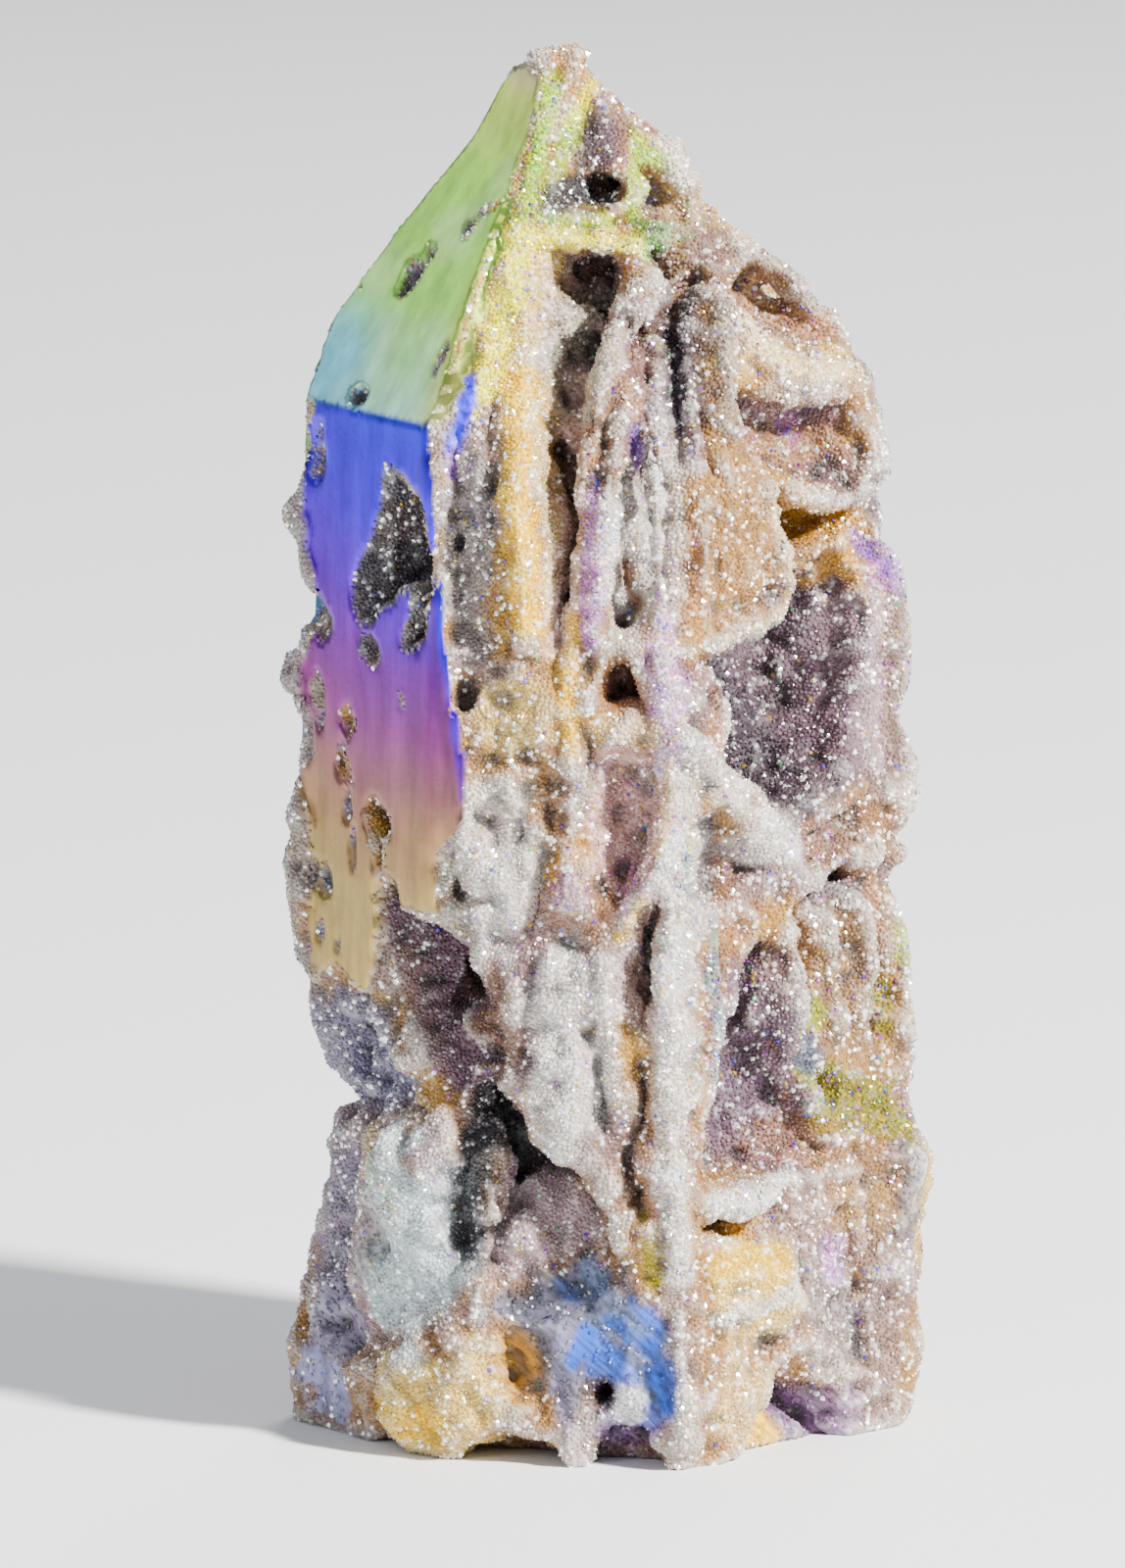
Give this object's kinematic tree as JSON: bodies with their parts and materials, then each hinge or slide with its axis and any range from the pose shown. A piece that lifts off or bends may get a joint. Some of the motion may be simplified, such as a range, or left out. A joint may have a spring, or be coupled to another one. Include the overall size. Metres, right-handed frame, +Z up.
{
  "type": "sphalerite tower",
  "caption": "Faceted stone point standing on its flat base, with polished colour-banded facets on one side and crystal-crusted hollows, clefts and thin walls on the other.",
  "frame": {"origin": "on the plane of the base, under the axis of the tower", "axes": "+Z up along the tower, -Y towards the front of the stone, +X to its right"},
  "size_m": [0.052, 0.0456, 0.1101],
  "materials": {
    "stone": "bands polished and iridescent, from green through blue and violet to ochre, between bare sparkling druse in tan, grey and mauve"
  },
  "bodies": {
    "root": {"sphalerite_tower": "stone"}
  },
  "joints": []
}
